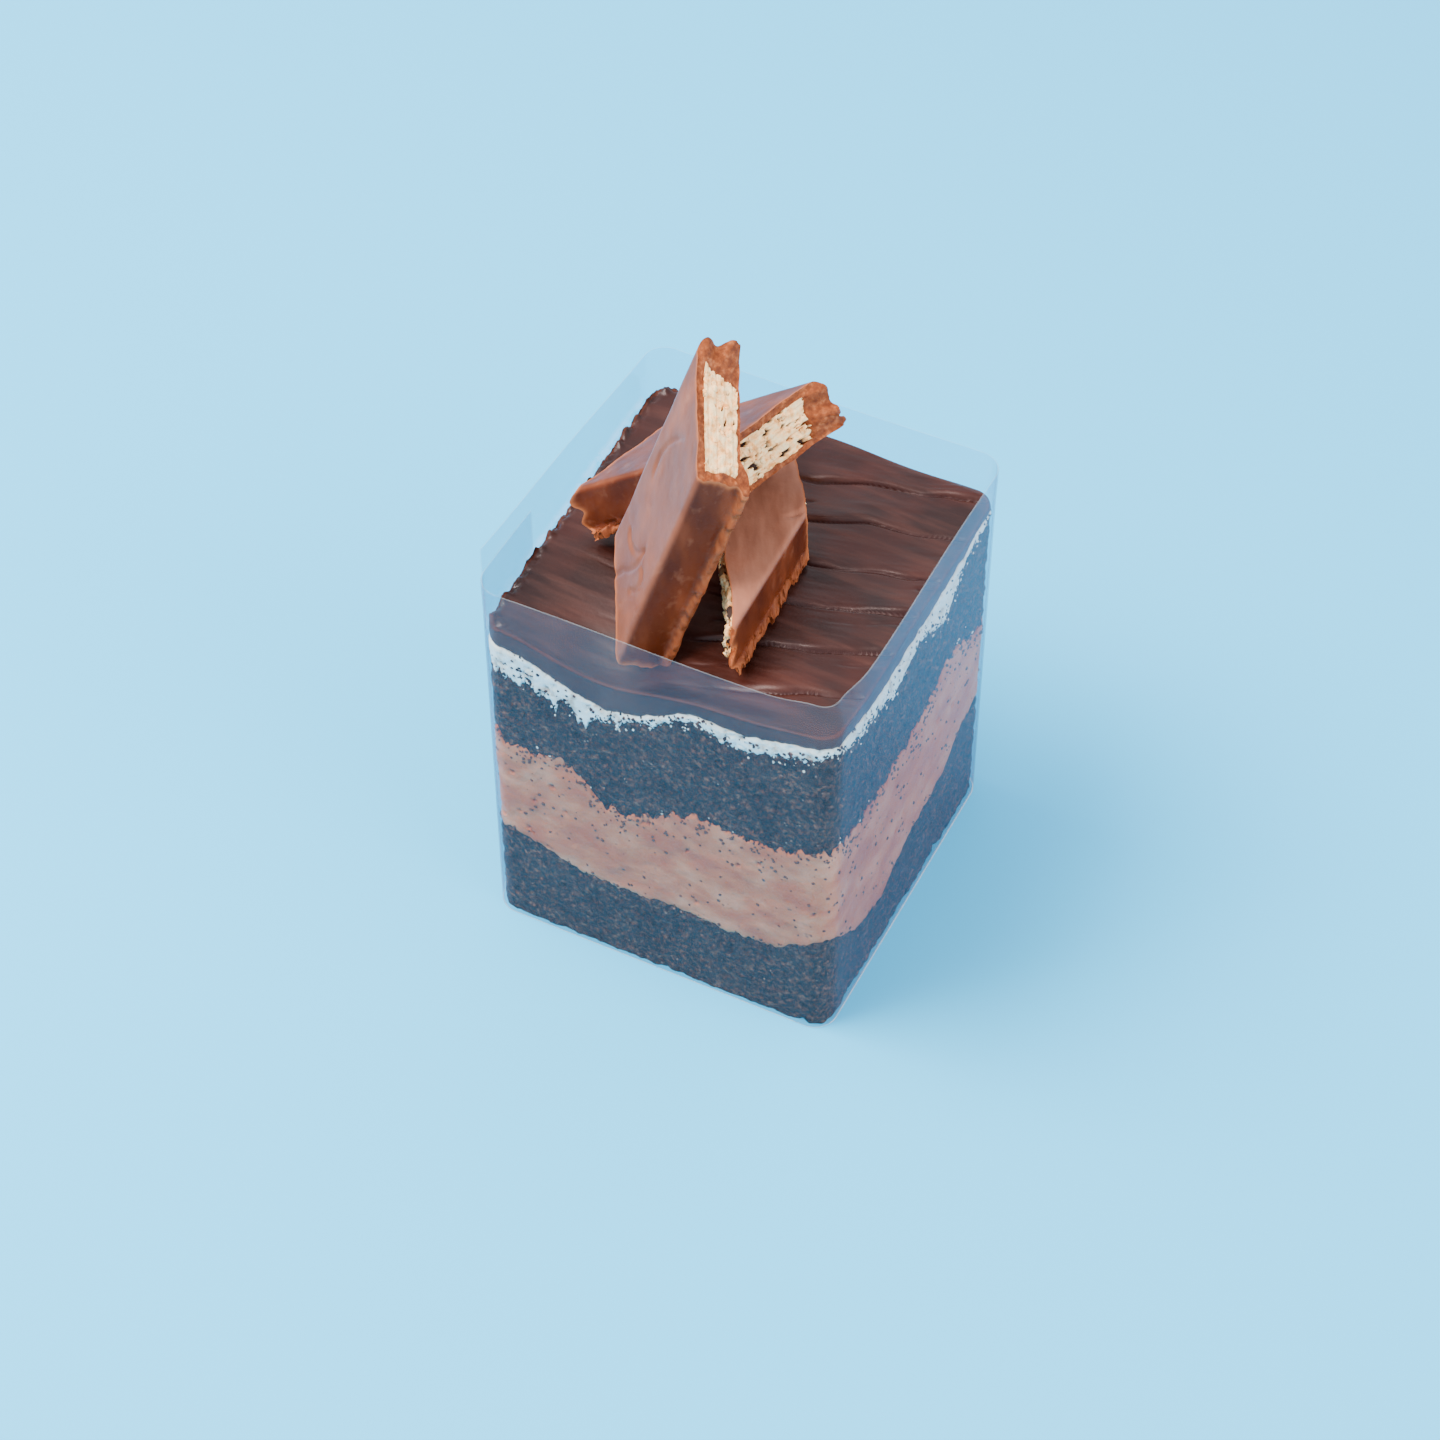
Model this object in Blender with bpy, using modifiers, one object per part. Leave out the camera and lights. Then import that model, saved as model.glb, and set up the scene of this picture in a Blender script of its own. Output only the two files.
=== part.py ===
"""Square slice of layered chocolate cake in a clear film collar, with three wafer bar pieces on top.

Metres, +Z up. The origin is under the middle of the collar, on the surface that the cake stands on.
-Y is the front. Run with: blender --background --python part.py
"""

from math import cos, exp, pi, radians, sin

import bmesh
import bpy
from mathutils import Matrix, Vector

MM = 0.001

# Driving dimensions, in millimetres.
GAP = 0.3                 # clearance kept between neighbouring solids
COLLAR_SIDE = 63.5        # outer width of the square collar
COLLAR_HEIGHT = 77.0      # rim above the table
COLLAR_FILM = 0.3         # thickness of the film
COLLAR_CORNER = 4.0       # corner radius of the film, at its middle
COLLAR_LAP = 15.0         # length of the overlap on the left side
COLLAR_RISE = 4.5         # how far the skewed outer end of the strip climbs
RIM_CORNER = 7.0          # radius of the front right corner at the rim, where no cake holds the film
FREE_CORNER = 2           # that corner's number, counted from the front left one
HELD_HEIGHT = 71.0        # up to here the cake holds the film
CORNER_INSET = 2**0.5 - 1  # how far a corner moves inwards for each millimetre of radius
FILM_STEPS = 8            # steps round one corner of the film
CAKE_CORNER = 3.5

LAYER_ROUND = 60          # points round a layer, a multiple of 4
CORNER_STEPS = 4          # of which this many steps turn each corner
BORDER_RINGS = (0.86, 0.55, 0.25)                       # rings inside the outline, as shares of it
GANACHE_RINGS = (0.98,) + tuple(1 - step / 11 for step in range(1, 11))
STROKE_PITCH = 9.7        # distance between the spatula strokes in the ganache
STROKE_DEPTH = 0.5
GANACHE_EDGE = 0.9        # how far the ganache rounds down at its edge

BAR_TOP = 14.8            # width of a wafer bar's top face
BAR_BASE = 18.0           # width over the thin flange at its foot
BAR_THICK = 9.0
FLANGE_THICK = 1.2
FLANGE_WIDTH = 1.1
COAT_WALL = 1.1
COAT_FOOT = 1.4

# A lump raises (or sinks) a layer's border: x, y, rise, reach.
SPONGE_LUMPS = ((-27, -31, 4.5, 9), (31, -31, 5.5, 6), (31, -11, -5, 9), (31, 26, 8, 9),
                (-31, 8, -3, 12), (-8, 31, 3, 12))
MOUSSE_LUMPS = ((-31, -31, 2.5, 6), (-16, -31, 3, 4), (-6, -31, -6, 7), (31, -31, 2.5, 6),
                (31, 15, 5.5, 9), (-31, 10, -4, 10), (6, 31, 3, 12))
CAKE_LUMPS = ((-13, -31, -6, 16), (6.5, -31, 2.5, 5), (31, -31, 3.5, 8), (31, 27, 4.5, 16),
              (-31, 20, 2, 14))
CREAM_LUMPS = ((-8, -31, -5.6, 13), (6.5, -31, 1.5, 5), (31, -31, 2.6, 11), (31, 27, 2.6, 18),
               (-31, 20, 1.5, 14))
TOP_LUMPS = ((-9, -31, -4, 15), (31, -31, 1.2, 9), (0, 31, 0.8, 24))

BORDER_HEIGHTS = {"sponge": 16.5, "mousse": 41.0, "cake": 62.0, "cream": 65.0, "top": 69.3}

# Each wafer bar piece: middle of its foot, length, slant of the cut ends, (roll, pitch, yaw) in degrees.
BARS = {
    "leaning_wafer": ((-1.2, -9.4, 87.9), 34.0, 0.95, (-9.5, 65.3, 56.5)),
    "lying_wafer": ((1.8, 2.9, 70.15), 27.0, 1.58, (0.0, 0.0, 92.2)),
    "crossing_wafer": ((-5.9, 4.0, 79.9), 27.8, 0.76, (-10.7, 31.6, 12.7)),
}

COLOURS = {
    "sponge": ((0.030, 0.014, 0.009), 0.85),
    "mousse": ((0.38, 0.21, 0.14), 0.60),
    "cream": ((0.80, 0.72, 0.66), 0.50),
    "ganache": ((0.075, 0.026, 0.018), 0.30),
    "film": ((0.85, 0.90, 0.92), 0.05),
    "milk_chocolate": ((0.27, 0.105, 0.055), 0.38),
    "wafer": ((0.76, 0.56, 0.36), 0.80),
}


def new_collection(name):
    """A collection linked to the scene."""
    made = bpy.data.collections.new(name)
    bpy.context.scene.collection.children.link(made)
    return made


def material(slot):
    """The Principled BSDF of one slot, made once."""
    found = bpy.data.materials.get(slot)
    if found:
        return found
    colour, roughness = COLOURS[slot]
    made = bpy.data.materials.new(slot)
    made.use_nodes = True
    shader = made.node_tree.nodes["Principled BSDF"]
    shader.inputs["Base Color"].default_value = (*colour, 1.0)
    shader.inputs["Roughness"].default_value = roughness
    if slot == "film":
        shader.inputs["Transmission Weight"].default_value = 1.0
    return made


def add_object(name, mesh, collection, slot=None):
    """An object for a mesh; without a slot it is a helper that only cuts."""
    made = bpy.data.objects.new(name, mesh)
    collection.objects.link(made)
    if slot:
        mesh.materials.append(material(slot))
        mesh.shade_smooth()
        mesh.set_sharp_from_angle(angle=radians(35))
    else:
        made.hide_render = True
        made.display_type = "WIRE"
    return made


def mesh_from(bm, name):
    """Turn a bmesh, in millimetres, into a mesh in metres with its faces pointing out."""
    bmesh.ops.scale(bm, vec=(MM, MM, MM), verts=bm.verts)
    bmesh.ops.recalc_face_normals(bm, faces=bm.faces)
    mesh = bpy.data.meshes.new(name)
    bm.to_mesh(mesh)
    bm.free()
    return mesh


def border(kind, lumps, x, y):
    """Height of a layer's border above (x, y), with its lumps and a slow ripple."""
    height = BORDER_HEIGHTS[kind] + 0.3 * sin(x / 4.1 + 1.0) * cos(y / 5.3)
    for lump_x, lump_y, rise, reach in lumps:
        height += rise * exp(-((x - lump_x) ** 2 + (y - lump_y) ** 2) / reach**2)
    return height


def stroke(x, y):
    """Depth of the spatula strokes, which fan out towards the right side."""
    bend = -0.1 * (x + 30) + 0.00425 * (x + 30) ** 2
    phase = ((y - bend - 0.9) / STROKE_PITCH) % 1.0
    return STROKE_DEPTH * (0.5 - 0.5 * cos(2 * pi * phase**0.6))


def table(x, y):
    """The flat foot of the cake."""
    return 0.0


def sponge_border(x, y):
    return border("sponge", SPONGE_LUMPS, x, y)


def mousse_border(x, y):
    return border("mousse", MOUSSE_LUMPS, x, y)


def cake_border(x, y):
    return border("cake", CAKE_LUMPS, x, y)


def cream_border(x, y):
    return border("cream", CREAM_LUMPS, x, y)


def ganache_surface(x, y):
    return border("top", TOP_LUMPS, x, y) - stroke(x, y)


def cake_outline():
    """Points round the rounded square of the cake, which stands clear of the film and its lap."""
    right = COLLAR_SIDE / 2 - COLLAR_FILM - GAP
    left = right - COLLAR_FILM - GAP
    centres = [Vector((right - CAKE_CORNER, CAKE_CORNER - right)), Vector((right - CAKE_CORNER,) * 2),
               Vector((CAKE_CORNER - left, right - CAKE_CORNER)), Vector((CAKE_CORNER - left, CAKE_CORNER - right))]
    straight = LAYER_ROUND // 4 - CORNER_STEPS
    points = []
    for number, centre in enumerate(centres):
        for step in range(CORNER_STEPS + 1):
            angle = radians(90) * (number - 1 + step / CORNER_STEPS)
            points.append(centre + CAKE_CORNER * Vector((cos(angle), sin(angle))))
        start = points[-1]
        end = start + centres[(number + 1) % 4] - centre
        points += [start.lerp(end, step / straight) for step in range(1, straight)]
    return points


def cake_layer(name, lower, upper, slot, collection, top_rings=BORDER_RINGS, edge_drop=0.0):
    """A layer between two border functions, built as rings that shrink to the middle.

    Neighbours share a border's rings, so the gap between them stays even.
    """
    outline = cake_outline()
    bm = bmesh.new()

    def ring(scale, height, shift):
        return [bm.verts.new((p.x * scale, p.y * scale, height(p.x * scale, p.y * scale) + shift))
                for p in outline]

    def band(first, second):
        for i in range(len(first)):
            j = (i + 1) % len(first)
            bm.faces.new((first[i], first[j], second[j], second[i]))

    shifts = {lower: 0.0 if lower is table else GAP / 2, upper: 0.0 if edge_drop else -GAP / 2}
    edges = {}
    for height in (lower, upper):
        drop = edge_drop if height is upper else 0.0
        loops = [ring(1.0, height, shifts[height] - drop)]
        rings = top_rings if height is upper else BORDER_RINGS
        loops += [ring(scale, height, shifts[height]) for scale in rings]
        for first, second in zip(loops, loops[1:]):
            band(first, second)
        middle = bm.verts.new((0.0, 0.0, height(0.0, 0.0) + shifts[height]))
        inner = loops[-1]
        for i in range(len(inner)):
            bm.faces.new((inner[i], inner[(i + 1) % len(inner)], middle))
        edges[height] = loops[0]
    band(edges[lower], edges[upper])
    bmesh.ops.triangulate(bm, faces=bm.faces)
    return add_object(name, mesh_from(bm, name), collection, slot)


def collar_route():
    """The film's middle line seen from above, from its inner end round to its outer end.

    Each point is x, y and the number of the corner it belongs to, or 0.
    """
    half = (COLLAR_SIDE - COLLAR_FILM) / 2
    inner = half - COLLAR_FILM - GAP
    straight = half - COLLAR_CORNER
    route = [(-inner, -straight + COLLAR_LAP * (1 - step / 4), 0) for step in range(4)]
    corners = ((-1, -1, inner, half), (1, -1, half, half), (1, 1, half, half), (-1, 1, half, half))
    for number, (sign_x, sign_y, reach_x, reach_y) in enumerate(corners):
        for step in range(FILM_STEPS + 1):
            angle = radians(180) + radians(90) * (number + step / FILM_STEPS)
            spot = (sign_x * (reach_x - COLLAR_CORNER) + COLLAR_CORNER * cos(angle),
                    sign_y * (reach_y - COLLAR_CORNER) + COLLAR_CORNER * sin(angle))
            route.append((*spot, number + 1))
    # The last side comes back to the front left corner, outside the inner end.
    route += [(-half, straight * (1 - 2 * step / 8), 0) for step in range(1, 9)]
    return route


def film_collar(collection):
    """The clear strip round the cake: an open surface given its thickness by Solidify."""
    route = collar_route()
    lengths = [0.0]
    for (x0, y0, _), (x1, y1, _) in zip(route, route[1:]):
        lengths.append(lengths[-1] + ((x1 - x0) ** 2 + (y1 - y0) ** 2) ** 0.5)
    climb_from = lengths[-1] - COLLAR_SIDE
    bm = bmesh.new()
    columns = []
    for (x, y, corner), length in zip(route, lengths):
        rim = COLLAR_HEIGHT + COLLAR_RISE * max(0.0, (length - climb_from) / COLLAR_SIDE)
        inset = (RIM_CORNER - COLLAR_CORNER) * CORNER_INSET if corner == FREE_CORNER else 0.0
        spread = Vector((x, y)).normalized() * inset
        columns.append([bm.verts.new((x, y, 0.0)), bm.verts.new((x, y, HELD_HEIGHT)),
                        bm.verts.new((x - spread.x, y - spread.y, rim))])
    for first, second in zip(columns, columns[1:]):
        for low in range(2):
            bm.faces.new((first[low], second[low], second[low + 1], first[low + 1]))
    made = add_object("film_collar", mesh_from(bm, "film_collar"), collection, "film")
    wall = made.modifiers.new("film thickness", "SOLIDIFY")
    wall.thickness = COLLAR_FILM * MM
    wall.offset = 0.0
    return made


def bar_profile(grow=0.0):
    """Half of a bar's section, as (width, height) from the foot to the top: flange, side, rounded edge."""
    base, top = BAR_BASE / 2 + grow, BAR_TOP / 2 + grow
    shoulder = 0.9
    return [(base, -grow), (base, FLANGE_THICK + grow), (base - FLANGE_WIDTH, FLANGE_THICK + 0.5 + grow),
            (top + 0.15, BAR_THICK - shoulder + grow), (top - 0.25, BAR_THICK - 0.2 + grow),
            (top - shoulder, BAR_THICK + grow)]


def core_profile(grow=0.0):
    """Half of the wafer core's section."""
    return [(BAR_TOP / 2 - COAT_WALL + 0.6 + grow, COAT_FOOT - grow),
            (BAR_TOP / 2 - COAT_WALL + grow, BAR_THICK - COAT_WALL + grow)]


def sheared_bar(name, half_profile, length, slant):
    """Extrude a section along X and shear it, so that both ends are cut at a slant."""
    bm = bmesh.new()
    section = half_profile + [(-width, height) for width, height in reversed(half_profile)]
    verts = [bm.verts.new((-length / 2, width, height)) for width, height in section]
    face = bm.faces.new(verts)
    bar = bmesh.ops.extrude_face_region(bm, geom=[face])
    ends = [item for item in bar["geom"] if isinstance(item, bmesh.types.BMVert)]
    bmesh.ops.translate(bm, vec=(length, 0, 0), verts=ends)
    shear = Matrix.Identity(4)
    shear[0][1] = slant
    bmesh.ops.transform(bm, matrix=shear, verts=bm.verts)
    return mesh_from(bm, name)


def place_bar(piece, place, turn):
    """Put a bar piece where it lies: roll about its length, then pitch, then yaw."""
    roll, pitch, yaw = (radians(angle) for angle in turn)
    piece.location = Vector(place) * MM
    piece.rotation_euler = (roll, -pitch, yaw)
    return piece


def subtract(target, cutter, name):
    """Cut one object from another."""
    cut = target.modifiers.new(name, "BOOLEAN")
    cut.operation = "DIFFERENCE"
    cut.solver = "EXACT"
    cut.object = cutter


def wafer_bar(name, spec, collection, cutters):
    """One piece of bar: a chocolate coat, open at its two cut ends, round a wafer core."""
    place, length, slant, turn = spec
    coat = add_object(f"{name}_coat", sheared_bar(name, bar_profile(), length, slant),
                      collection, "milk_chocolate")
    core = add_object(f"{name}_core", sheared_bar(name, core_profile(), length - 0.4, slant),
                      collection, "wafer")
    room = add_object(f"{name}_room", sheared_bar(name, core_profile(GAP), length + 20, slant), cutters)
    for piece in (coat, core, room):
        place_bar(piece, place, turn)
    subtract(coat, room, "room for the wafer")


def main():
    """Build the cake from the bottom up."""
    for leftover in list(bpy.data.objects):
        bpy.data.objects.remove(leftover)
    cake = new_collection("chocolate_cake_slice")
    cutters = new_collection("cutters")
    cake_layer("sponge_bottom", table, sponge_border, "sponge", cake)
    cake_layer("mousse_layer", sponge_border, mousse_border, "mousse", cake)
    cake_layer("sponge_top", mousse_border, cake_border, "sponge", cake)
    cake_layer("cream_layer", cake_border, cream_border, "cream", cake)
    ganache = cake_layer("ganache_top", cream_border, ganache_surface, "ganache", cake,
                         top_rings=GANACHE_RINGS, edge_drop=GANACHE_EDGE)
    film_collar(cake)
    for name, spec in BARS.items():
        wafer_bar(name, spec, cake, cutters)
    place, length, slant, turn = BARS["leaning_wafer"]
    pocket = add_object("foot_pocket", sheared_bar("foot_pocket", bar_profile(GAP), length + 2 * GAP, slant),
                        cutters)
    place_bar(pocket, place, turn)
    subtract(ganache, pocket, "pocket of the leaning bar")


main()
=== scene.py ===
"""Looks of one serving of layered chocolate cake in a clear film collar, with three wafer bar pieces on top.

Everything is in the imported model's frame: +Z up, -Y the front, the origin under the middle of the collar.
Sizes in the classes are millimetres, and meshes are turned to metres when they are made.
"""

import logging
from dataclasses import dataclass, field
from enum import Enum
from math import atan2, cos, exp, floor, hypot, pi, radians, sin

import bmesh
import bpy
from mathutils import Euler, Matrix, Vector, noise


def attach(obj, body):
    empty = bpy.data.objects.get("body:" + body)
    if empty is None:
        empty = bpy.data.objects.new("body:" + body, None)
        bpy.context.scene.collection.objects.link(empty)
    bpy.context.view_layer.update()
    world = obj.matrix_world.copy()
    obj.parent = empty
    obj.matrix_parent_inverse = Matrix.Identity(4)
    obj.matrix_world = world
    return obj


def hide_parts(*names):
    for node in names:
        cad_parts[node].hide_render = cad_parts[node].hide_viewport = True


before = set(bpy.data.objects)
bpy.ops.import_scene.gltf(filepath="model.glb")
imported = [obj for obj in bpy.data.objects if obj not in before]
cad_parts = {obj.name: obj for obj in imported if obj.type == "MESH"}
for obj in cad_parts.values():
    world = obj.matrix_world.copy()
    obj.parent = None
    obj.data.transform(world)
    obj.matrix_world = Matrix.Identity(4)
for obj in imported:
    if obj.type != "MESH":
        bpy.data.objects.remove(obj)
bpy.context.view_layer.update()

log = logging.getLogger("cake")

MM = 0.001
PER_CM2 = 1e4     # things on each square metre, for one on each square centimetre
BODY = "root"

Section = list[tuple[float, float]]
Lump = tuple[float, float, float, float]


# Numbers and noise


def linear(code: str) -> tuple[float, float, float, float]:
    """Turn an sRGB hex value into a linear colour.

    Args:
        code: Six hex digits after a hash.

    Returns:
        Red, green, blue and an alpha of 1.
    """
    parts = [int(code[i:i + 2], 16) / 255 for i in (1, 3, 5)]
    return (*(p / 12.92 if p <= 0.04045 else ((p + 0.055) / 1.055) ** 2.4 for p in parts), 1.0)


def per_mm(size: float) -> float:
    """Scale of a pattern on Object coordinates whose features are this many millimetres apart."""
    return 1.0 / (size * MM)


def ease(value: float) -> float:
    """Smooth step of a value clamped to 0..1."""
    value = min(1.0, max(0.0, value))
    return value * value * (3 - 2 * value)


def grain(x: float, y: float, z: float, size: float, octaves: int = 3, fall: float = 1.0) -> float:
    """Fractal noise at a spot.

    Args:
        x: The spot's place, in millimetres.
        y: The same, along Y.
        z: The same, along Z, or a number that picks another pattern.
        size: Feature size in millimetres.
        octaves: Layers of finer noise.
        fall: How fast the finer layers fade; less of it makes the noise more ragged.

    Returns:
        A value of about -1 to 1.
    """
    return noise.fractal(Vector((x, y, z)) / size, fall, 2.1, octaves)


def cell(x: float, y: float, z: float, size: float) -> tuple[float, float]:
    """Find the random cell that a spot lies in.

    Args:
        x: The spot's place, in millimetres.
        y: The same, along Y.
        z: The same, along Z.
        size: Distance between cells in millimetres.

    Returns:
        Distance to the cell's middle, as a share of that size, and the cell's own chance value.
    """
    found, points = noise.voronoi(Vector((x, y, z)) / size)
    return found[0], noise.cell(points[0] * 7.3)


# Nodes


RAMP, MIX, MATH, BUMP = "ShaderNodeValToRGB", "ShaderNodeMix", "ShaderNodeMath", "ShaderNodeBump"
RANDOM, VECTOR, MOVE = "FunctionNodeRandomValue", "ShaderNodeVectorMath", "GeometryNodeSetPosition"

Tree = bpy.types.NodeTree
Node = bpy.types.Node
Pattern = bpy.types.Node | bpy.types.NodeSocket
Span = tuple[float, float]


def join(tree: Tree, node: Node, links: dict) -> None:
    """Link or set a node's inputs.

    Args:
        tree: The tree that the node is in.
        node: The node.
        links: For each input, by name or number, a socket to link, a node whose first output in use is
            linked, a hex colour or a plain value.
    """
    for name, value in links.items():
        if isinstance(value, Node):
            value = next(socket for socket in value.outputs if socket.enabled)
        if isinstance(value, bpy.types.NodeSocket):
            tree.links.new(value, node.inputs[name])
        else:
            is_colour = isinstance(value, str) and value.startswith("#")
            node.inputs[name].default_value = linear(value) if is_colour else value


def add(tree: Tree, kind: str, links: dict | None = None, stops: tuple = (), **settings: object) -> Node:
    """Add one node with its settings and links.

    Args:
        tree: The tree it goes into.
        kind: The node's type name.
        links: Its inputs, as join takes them.
        stops: For a colour ramp, the position of each stop and its hex colour or grey value.
        settings: Properties of the node.

    Returns:
        The new node.
    """
    node = tree.nodes.new(kind)
    for name, value in settings.items():
        setattr(node, name, value)
    elements = node.color_ramp.elements if stops else ()
    while len(elements) < len(stops):
        elements.new(0.5)
    for element, (position, value) in zip(elements, stops):
        element.position = position
        element.color = linear(value) if isinstance(value, str) else (value, value, value, 1.0)
    join(tree, node, links or {})
    return node


def speckle(tree: Tree, size: float, detail: float = 3.0, stretch: tuple = (1, 1, 1),
            turn: tuple = (0, 0, 0)) -> Node:
    """Lay a cloudy pattern on Object coordinates.

    Args:
        tree: The tree it goes into.
        size: Feature size in millimetres.
        detail: Octaves of finer noise.
        stretch: Scale along each axis, below 1 for longer features.
        turn: Rotation of the pattern in degrees.

    Returns:
        The pattern, of about 0.3 to 0.7.
    """
    place = add(tree, "ShaderNodeTexCoord").outputs["Object"]
    mapped = add(tree, "ShaderNodeMapping",
                 {"Vector": place, "Scale": stretch, "Rotation": tuple(radians(angle) for angle in turn)})
    return add(tree, "ShaderNodeTexNoise",
               {"Vector": mapped, "Scale": per_mm(size), "Detail": detail, "Roughness": 0.55})


def cells(tree: Tree, size: float) -> Node:
    """Lay random cells on Object coordinates.

    Args:
        tree: The tree they go into.
        size: Distance between them in millimetres.

    Returns:
        The distance to the nearest cell's middle, as a share of that size.
    """
    place = add(tree, "ShaderNodeTexCoord").outputs["Object"]
    return add(tree, "ShaderNodeTexVoronoi", {"Vector": place, "Scale": per_mm(size), "Randomness": 1.0})


def flecks(tree: Tree, apart: float, edge: Span, patch: float, rise: Span) -> Node:
    """Lay small round flecks that come in patches.

    Args:
        tree: The tree they go into.
        apart: Distance between the flecks in millimetres.
        edge: Where a fleck starts to fade and where it ends, as shares of that distance.
        patch: Size of the patches in millimetres.
        rise: Values of the patches' pattern where the flecks start and where they are full.

    Returns:
        A mask, 1 on the flecks.
    """
    dots = add(tree, RAMP, {0: cells(tree, apart)}, stops=((edge[0], 1.0), (edge[1], 0.0)))
    patches = add(tree, RAMP, {0: speckle(tree, patch, 2)}, stops=((rise[0], 0.0), (rise[1], 1.0)))
    return add(tree, MATH, {0: dots, 1: patches}, operation="MULTIPLY")


def stain(tree: Tree, shade: Pattern, mask: Pattern | str, colour: str, rise: Span = (0.0, 1.0),
          most: float = 1.0) -> Node:
    """Turn a shade towards a colour where a mask is high.

    Args:
        tree: The tree it goes into.
        shade: The shade so far.
        mask: What picks the spots, or the name of a value kept on the mesh's points.
        colour: The hex colour.
        rise: Values of the mask where the colour starts and where there is most of it.
        most: The largest share of the colour.

    Returns:
        The new shade.
    """
    if isinstance(mask, str):
        mask = add(tree, "ShaderNodeAttribute", attribute_name=mask).outputs["Fac"]
    share = add(tree, RAMP, {0: mask}, stops=((rise[0], 0.0), (rise[1], most)))
    return add(tree, MIX, {0: share, 6: shade, 7: colour}, data_type="RGBA")


def uneven(tree: Tree, *layers: tuple[Pattern, float]) -> Node:
    """Roughen a surface with one pattern on top of the other.

    Args:
        tree: The tree it goes into.
        layers: Each pattern and its depth in millimetres.

    Returns:
        The surface's direction, for a shader's Normal input.
    """
    found = None
    for height, depth in layers:
        links = {"Height": height, "Distance": depth * MM, "Strength": 1.0}
        if found:
            links["Normal"] = found
        found = add(tree, BUMP, links)
    return found


# Finishes


@dataclass(frozen=True)
class Finish:
    """A material that is made once and named for what the real one is."""

    name: str

    def material(self) -> bpy.types.Material:
        """Build the material on its first use.

        Returns:
            The material, the same one each time.
        """
        found = bpy.data.materials.get(self.name)
        if found:
            return found
        made = bpy.data.materials.new(self.name)
        made.use_nodes = True
        tree = made.node_tree
        self.dress(tree, tree.nodes["Principled BSDF"])
        return made

    def dress(self, tree: Tree, shader: Node) -> None:
        """Set the shader's values and add its patterns.

        Args:
            tree: The material's tree.
            shader: Its shader.
        """
        raise NotImplementedError


@dataclass(frozen=True)
class CocoaSponge(Finish):
    """Baked cocoa sponge, torn and pressed to the film: dark and matt, with an open crumb."""

    name: str = "baked cocoa sponge"
    crumb: float = 0.9

    def dress(self, tree: Tree, shader: Node) -> None:
        """Set the shader's values and add its patterns.

        Args:
            tree: The material's tree.
            shader: Its shader.
        """
        lumps = speckle(tree, 0.85 * self.crumb, 5)
        shade = add(tree, RAMP, {0: lumps},
                    stops=((0.34, "#1A0B07"), (0.47, "#321810"), (0.58, "#532F21"), (0.72, "#865843")))
        shade = stain(tree, shade, flecks(tree, 1.1, (0.10, 0.20), 2.3, (0.57, 0.61)), "#9A7668")
        join(tree, shader, {
            # Darker where the crumb is deepest: painted shade in its pits.
            "Base Color": stain(tree, shade, "hollow", "#1C100C", (0.15, 0.7), 0.8),
            "Roughness": add(tree, RAMP, {0: lumps}, stops=((0.35, 0.55), (0.65, 0.9))),
            "Normal": uneven(tree, (cells(tree, self.crumb), 0.45), (speckle(tree, 0.35, 2), 0.12)),
            "Specular IOR Level": 0.05,
        })


@dataclass(frozen=True)
class SoakedCrumb(Finish):
    """Small cocoa crumbs that have taken up cream or mousse: mid brown and soft looking."""

    name: str = "soaked cocoa crumbs"
    shade: str = "#5E3828"

    def dress(self, tree: Tree, shader: Node) -> None:
        """Set the shader's plain values."""
        join(tree, shader, {"Base Color": self.shade, "Roughness": 0.7, "Specular IOR Level": 0.15})


@dataclass(frozen=True)
class Mousse(Finish):
    """Whipped milk chocolate mousse: pale pinkish brown, satin where it is pressed flat, with air holes."""

    name: str = "whipped chocolate mousse"

    def dress(self, tree: Tree, shader: Node) -> None:
        """Set the shader's values and add its patterns.

        Args:
            tree: The material's tree.
            shader: Its shader.
        """
        shade = add(tree, RAMP, {0: speckle(tree, 7.0, 3, (1, 1, 1.6))},
                    stops=((0.33, "#BE5832"), (0.52, "#D06E44"), (0.70, "#DE8660")))
        # Darker in the air holes: painted shade.
        shade = stain(tree, shade, "hollow", "#5E3A2C", (0.2, 0.8))
        join(tree, shader, {
            "Base Color": stain(tree, shade, flecks(tree, 2.1, (0.12, 0.20), 4.5, (0.50, 0.56)), "#5A382B"),
            "Roughness": add(tree, RAMP, {0: speckle(tree, 2.5)}, stops=((0.4, 0.42), (0.7, 0.62))),
            "Normal": uneven(tree, (speckle(tree, 1.6, 3), 0.25), (speckle(tree, 0.4, 2), 0.05)),
            "Specular IOR Level": 0.1,
            "Subsurface Weight": 0.08,
            "Subsurface Radius": (1.0, 0.7, 0.5),
            "Subsurface Scale": 0.5 * MM,
        })


@dataclass(frozen=True)
class Cream(Finish):
    """Whipped dairy cream, smeared: off-white, soft and slightly translucent."""

    name: str = "whipped cream"

    def dress(self, tree: Tree, shader: Node) -> None:
        """Set the shader's values and add its patterns.

        Args:
            tree: The material's tree.
            shader: Its shader.
        """
        shade = add(tree, RAMP, {0: speckle(tree, 2.2, 4)},
                    stops=((0.32, "#CBB09F"), (0.43, "#F8E9DF"), (0.55, "#FFF8F2")))
        join(tree, shader, {
            # Darker where the smear dips in: painted shade.
            "Base Color": stain(tree, shade, "hollow", "#8C6E5E", (0.45, 0.9)),
            "Roughness": 0.45,
            "Normal": uneven(tree, (speckle(tree, 0.9, 4), 0.3)),
            "Subsurface Weight": 0.2,
            "Subsurface Radius": (1.0, 0.8, 0.7),
            "Subsurface Scale": 0.8 * MM,
        })


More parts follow.
